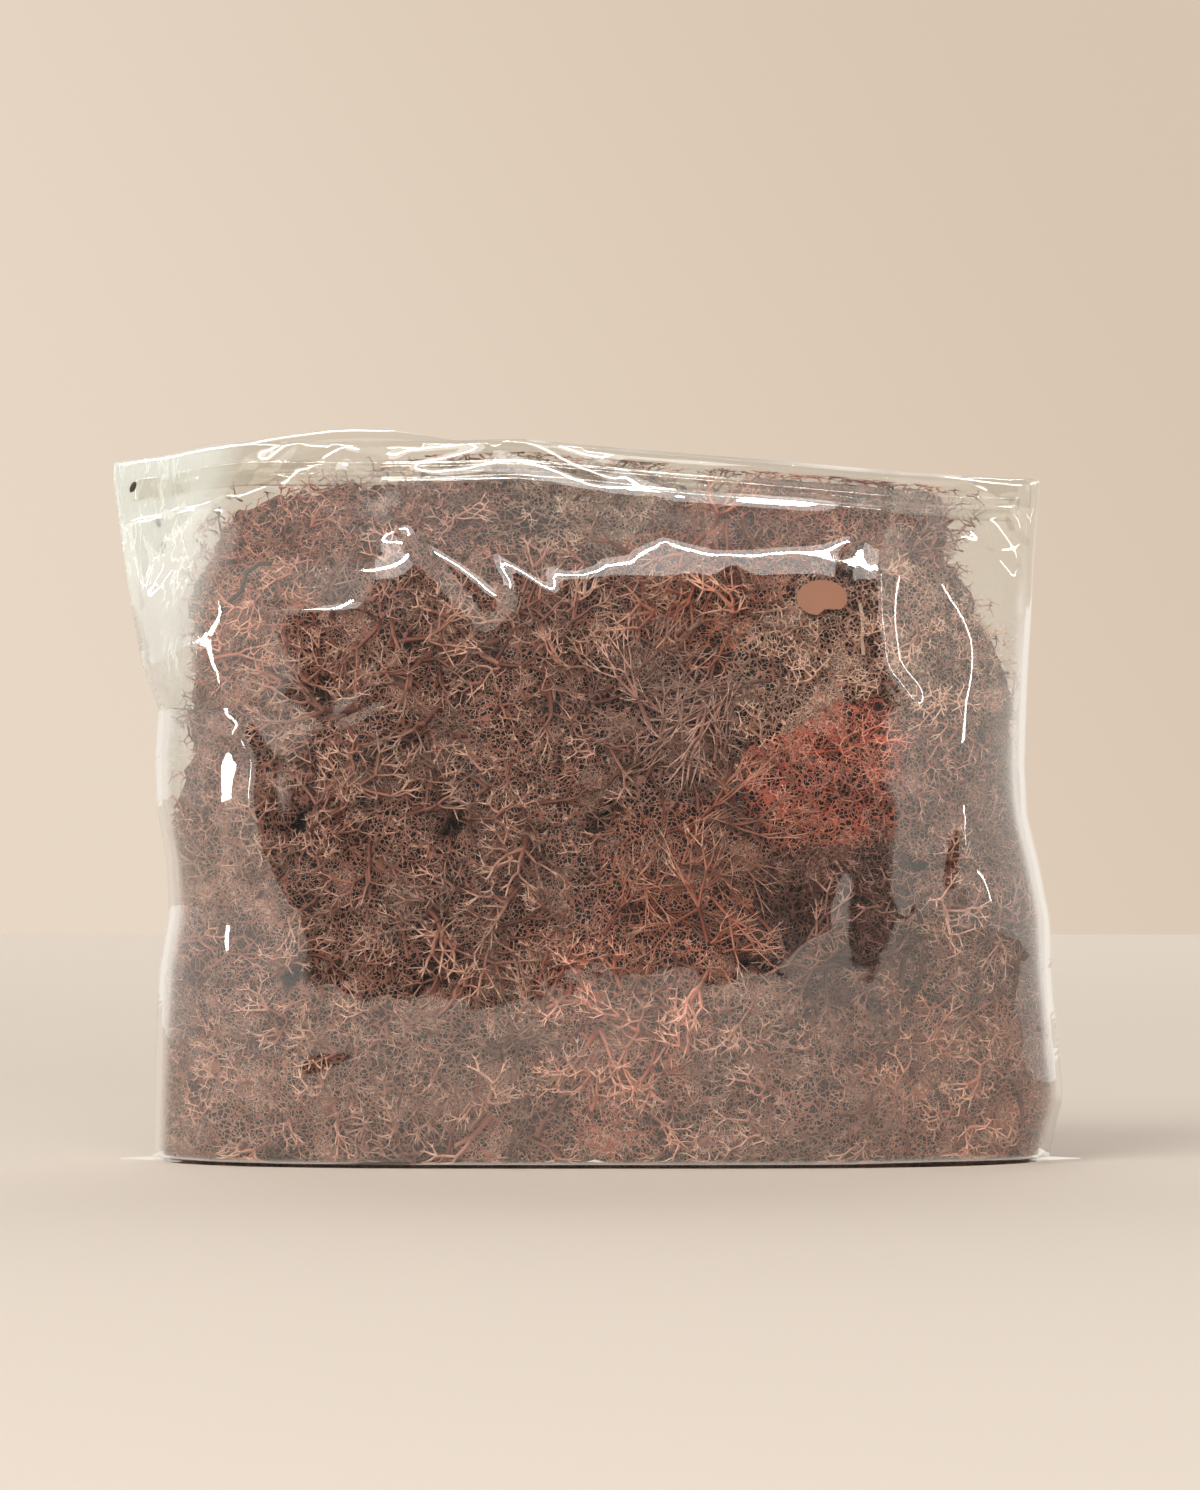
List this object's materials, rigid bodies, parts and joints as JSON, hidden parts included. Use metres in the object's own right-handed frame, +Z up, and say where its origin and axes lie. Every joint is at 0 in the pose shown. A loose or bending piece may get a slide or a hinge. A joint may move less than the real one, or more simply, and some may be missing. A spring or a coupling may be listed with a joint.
{
  "type": "reindeer moss clump in a clear pouch",
  "caption": "Clump of dyed, branching reindeer moss packed in a clear press-to-close stand-up film pouch with a flat base.",
  "frame": {"origin": "under the middle of the pouch's outline, on the surface it stands on", "axes": "+Z up, +X along the pouch's width, the broad front faces -Y"},
  "size_m": [0.2378, 0.0832, 0.1792],
  "materials": {
    "moss_brown": "matt dry lichen, dyed reddish brown",
    "moss_pale": "matt dry lichen, pale tan",
    "moss_red": "matt dry lichen, dyed bright rust red",
    "moss_pink": "matt dry lichen, dyed pinkish orange",
    "moss_dark": "matt dry lichen, dark brown",
    "film": "clear glossy film with a faint green tint",
    "dead_stem": "dull blackish dead plant stem",
    "dry_leaf": "smooth dry leaf",
    "straw": "dull pale stalk"
  },
  "bodies": {
    "root": {"back_1_1_tuft": "moss_brown", "back_1_2_tuft": "moss_brown", "back_1_3_tuft": "moss_brown", "back_1_4_tuft": "moss_brown", "back_2_1_tuft": "moss_brown", "back_2_2_tuft": "moss_brown", "back_2_3_tuft": "moss_brown", "back_2_4_tuft": "moss_brown", "back_film": "film", "base_left_middle_tuft": "moss_brown", "base_left_tuft": "moss_brown", "base_middle_tuft": "moss_brown", "base_right_middle_tuft": "moss_brown", "base_right_tuft": "moss_brown", "bottom_gusset": "film", "brown_middle_tuft": "moss_brown", "cap_end_tuft": "moss_brown", "crumb_1": "dead_stem", "crumb_2": "dead_stem", "crumb_3": "dead_stem", "dark_hollow_tuft": "moss_dark", "dark_stem": "dead_stem", "front_film": "film", "leaf_scrap": "dry_leaf", "left_middle_tuft": "moss_brown", "left_shoulder_tuft": "moss_brown", "left_slope_tuft": "moss_brown", "left_tuft": "moss_brown", "low_left_middle_tuft": "moss_brown", "low_left_tuft": "moss_brown", "low_middle_tuft": "moss_brown", "low_right_middle_tuft": "moss_brown", "low_right_tuft": "moss_brown", "middle_tuft": "moss_brown", "pale_edge_tuft": "moss_pale", "pale_stalk": "straw", "pale_top_tuft": "moss_pale", "pink_tuft": "moss_pink", "red_tuft": "moss_red", "right_tuft": "moss_brown", "tan_tuft": "moss_pale", "thin_twig": "dead_stem", "top_middle_tuft": "moss_brown", "top_right_cap_tuft": "moss_brown", "upper_left_tuft": "moss_brown", "upper_middle_tuft": "moss_brown", "upper_right_tuft": "moss_brown", "zip_track_back": "film", "zip_track_front": "film"}
  },
  "joints": []
}
